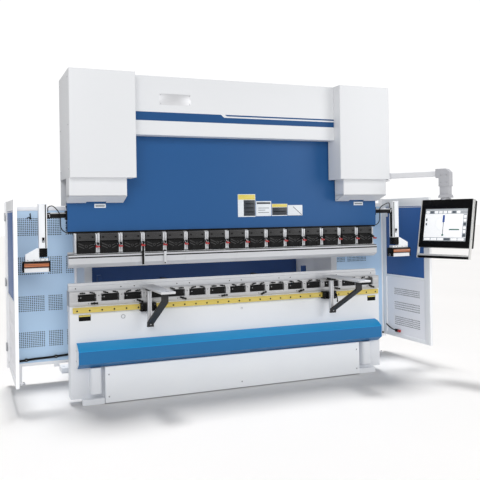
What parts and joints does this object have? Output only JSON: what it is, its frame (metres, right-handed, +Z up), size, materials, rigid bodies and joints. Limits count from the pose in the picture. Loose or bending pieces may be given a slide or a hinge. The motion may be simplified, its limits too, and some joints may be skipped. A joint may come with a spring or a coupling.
{
  "type": "press brake",
  "caption": "Hydraulic sheet metal press brake with crowning table, quick-clamp punches, laser guard, front sheet supports, side guard doors, back gauge and swivelling console.",
  "frame": {"origin": "centre of the four foundation holes, at floor level", "axes": "+X towards the operator's right along the bend line, -Y towards the operator, +Z up"},
  "size_m": [4.188, 2.4153, 2.844],
  "materials": {
    "white_paint": "satin",
    "blue_paint": "satin",
    "light_blue_paint": "satin",
    "pale_blue_paint": "satin",
    "dark_blue_paint": "satin",
    "black_oxide": "semi-matt",
    "ground_steel": "ground",
    "tool_steel": "ground",
    "yellow_paint": "satin",
    "cast_grey": "as cast",
    "chrome_rod": "polished",
    "extruded_aluminium": "anodised",
    "motor_blue": "satin",
    "black_plastic": "fine texture",
    "screen_glass": "gloss",
    "red_plastic": "gloss",
    "scale_gold": "anodised"
  },
  "bodies": {
    "machine_frame": {"side_frame_left": "white_paint", "side_frame_right": "white_paint", "bed_beam": "white_paint", "bed_front_plate": "white_paint", "toe_box": "light_blue_paint", "lower_front_plate": "white_paint", "leg_posts": "white_paint", "foot_pads": "white_paint", "rear_cross_beam": "dark_blue_paint", "oil_tank": "white_paint", "header_panel": "white_paint", "cylinder_cover_left": "white_paint", "cylinder_cover_right": "white_paint", "cylinder_bodies": "cast_grey", "valve_blocks": "ground_steel", "hydraulic_pipes": "ground_steel", "pump_motor": "motor_blue", "ram_guides": "ground_steel", "linear_scales": "scale_gold", "crowning_table": "ground_steel", "die_rail": "tool_steel", "die_clamp_screws": "black_oxide", "support_rail": "yellow_paint", "rail_bolts": "black_oxide", "electrical_cabinet": "white_paint", "guard_panel_left": "pale_blue_paint", "guard_panel_right": "pale_blue_paint", "console_bracket": "white_paint", "gauge_rails": "ground_steel"},
    "motor_shaft": {"motor_rotor": "ground_steel"},
    "wedge_drive": {"crowning_wedges": "black_oxide"},
    "ram": {"ram": "blue_paint", "piston_rods": "chrome_rod", "punch_holders": "tool_steel", "punch_clamps": "black_oxide", "punch": "tool_steel", "laser_brackets": "black_oxide"},
    "levers": {"clamp_levers": "red_plastic"},
    "laser_left": {"laser_arm_left": "white_paint", "laser_head_left": "black_plastic"},
    "laser_right": {"laser_arm_right": "white_paint", "laser_head_right": "black_plastic"},
    "slide_left": {"support_slide_left": "black_oxide"},
    "slide_right": {"support_slide_right": "black_oxide"},
    "table_left": {"support_arm_left": "extruded_aluminium"},
    "table_right": {"support_arm_right": "extruded_aluminium"},
    "door_left": {"guard_door_left": "white_paint"},
    "door_right": {"guard_door_right": "white_paint"},
    "cabinet_door": {"cabinet_door": "white_paint"},
    "console_arm": {"console_arm": "white_paint"},
    "console": {"console_housing": "black_plastic", "console_screen": "screen_glass", "console_handle": "chrome_rod"},
    "carriage": {"gauge_carriage": "dark_blue_paint"},
    "lift_beam": {"gauge_beam": "extruded_aluminium"},
    "finger_left": {"gauge_finger_left": "black_oxide"},
    "finger_right": {"gauge_finger_right": "black_oxide"},
    "screw_left": {"gauge_screw_left": "chrome_rod"},
    "screw_right": {"gauge_screw_right": "chrome_rod"}
  },
  "joints": [
    {"name": "ram_stroke", "type": "slide", "parent": "machine_frame", "child": "ram", "axis": [0, 0, 1], "range_m": [-0.13, 0.07]},
    {"name": "clamp_lever_swing", "type": "hinge", "parent": "ram", "child": "levers", "pos_m": [0, -0.702, 1.372], "axis": [1, 0, 0], "range_deg": [-95, 5]},
    {"name": "laser_height_left", "type": "slide", "parent": "ram", "child": "laser_left", "axis": [0, 0, 1], "range_m": [-0.04, 0.2]},
    {"name": "laser_height_right", "type": "slide", "parent": "ram", "child": "laser_right", "axis": [0, 0, 1], "range_m": [-0.04, 0.2]},
    {"name": "support_travel_left", "type": "slide", "parent": "machine_frame", "child": "slide_left", "axis": [1, 0, 0], "range_m": [-0.6, 0.75]},
    {"name": "support_travel_right", "type": "slide", "parent": "machine_frame", "child": "slide_right", "axis": [1, 0, 0], "range_m": [-0.8, 0.5]},
    {"name": "support_height_left", "type": "slide", "parent": "slide_left", "child": "table_left", "axis": [0, 0, 1], "range_m": [-0.015, 0.03]},
    {"name": "support_height_right", "type": "slide", "parent": "slide_right", "child": "table_right", "axis": [0, 0, 1], "range_m": [-0.015, 0.03]},
    {"name": "guard_door_left_swing", "type": "hinge", "parent": "machine_frame", "child": "door_left", "pos_m": [-2.01, 0.278, 1], "axis": [0, 0, 1], "range_deg": [-95, 0]},
    {"name": "guard_door_right_swing", "type": "hinge", "parent": "machine_frame", "child": "door_right", "pos_m": [2.16, 0.098, 1], "axis": [0, 0, 1], "range_deg": [0, 95]},
    {"name": "cabinet_door_swing", "type": "hinge", "parent": "machine_frame", "child": "cabinet_door", "pos_m": [1.83, 0.801, 1], "axis": [0, 0, 1], "range_deg": [0, 110]},
    {"name": "console_arm_swing", "type": "hinge", "parent": "machine_frame", "child": "console_arm", "pos_m": [1.61, -0.735, 1.977], "axis": [0, 0, 1], "range_deg": [-35, 15]},
    {"name": "console_swivel", "type": "hinge", "parent": "console_arm", "child": "console", "pos_m": [1.94667, -1.25, 1.7], "axis": [0, 0, 1], "range_deg": [-60, 60]},
    {"name": "crowning_wedge_shift", "type": "slide", "parent": "machine_frame", "child": "wedge_drive", "axis": [1, 0, 0], "range_m": [-0.01, 0.01]},
    {"name": "pump_motor_spin", "type": "hinge", "parent": "machine_frame", "child": "motor_shaft", "pos_m": [-0.15, 0.11, 2.59], "axis": [1, 0, 0], "continuous": true},
    {"name": "gauge_depth", "type": "slide", "parent": "machine_frame", "child": "carriage", "axis": [0, 1, 0], "range_m": [-0.22, 0.38]},
    {"name": "gauge_screw_left_spin", "type": "hinge", "parent": "machine_frame", "child": "screw_left", "pos_m": [-1.245, 0.41, 0.714], "axis": [0, 1, 0], "continuous": true},
    {"name": "gauge_screw_right_spin", "type": "hinge", "parent": "machine_frame", "child": "screw_right", "pos_m": [1.245, 0.41, 0.714], "axis": [0, 1, 0], "continuous": true},
    {"name": "gauge_height", "type": "slide", "parent": "carriage", "child": "lift_beam", "axis": [0, 0, 1], "range_m": [0, 0.12]},
    {"name": "finger_travel_left", "type": "slide", "parent": "lift_beam", "child": "finger_left", "axis": [1, 0, 0], "range_m": [-0.5, 0.4]},
    {"name": "finger_travel_right", "type": "slide", "parent": "lift_beam", "child": "finger_right", "axis": [1, 0, 0], "range_m": [-0.4, 0.5]}
  ],
  "couplings": [
    {"joint": "gauge_screw_left_spin", "follows": "gauge_depth", "rad_per_m": 314.16},
    {"joint": "gauge_screw_right_spin", "follows": "gauge_depth", "rad_per_m": 314.16}
  ]
}
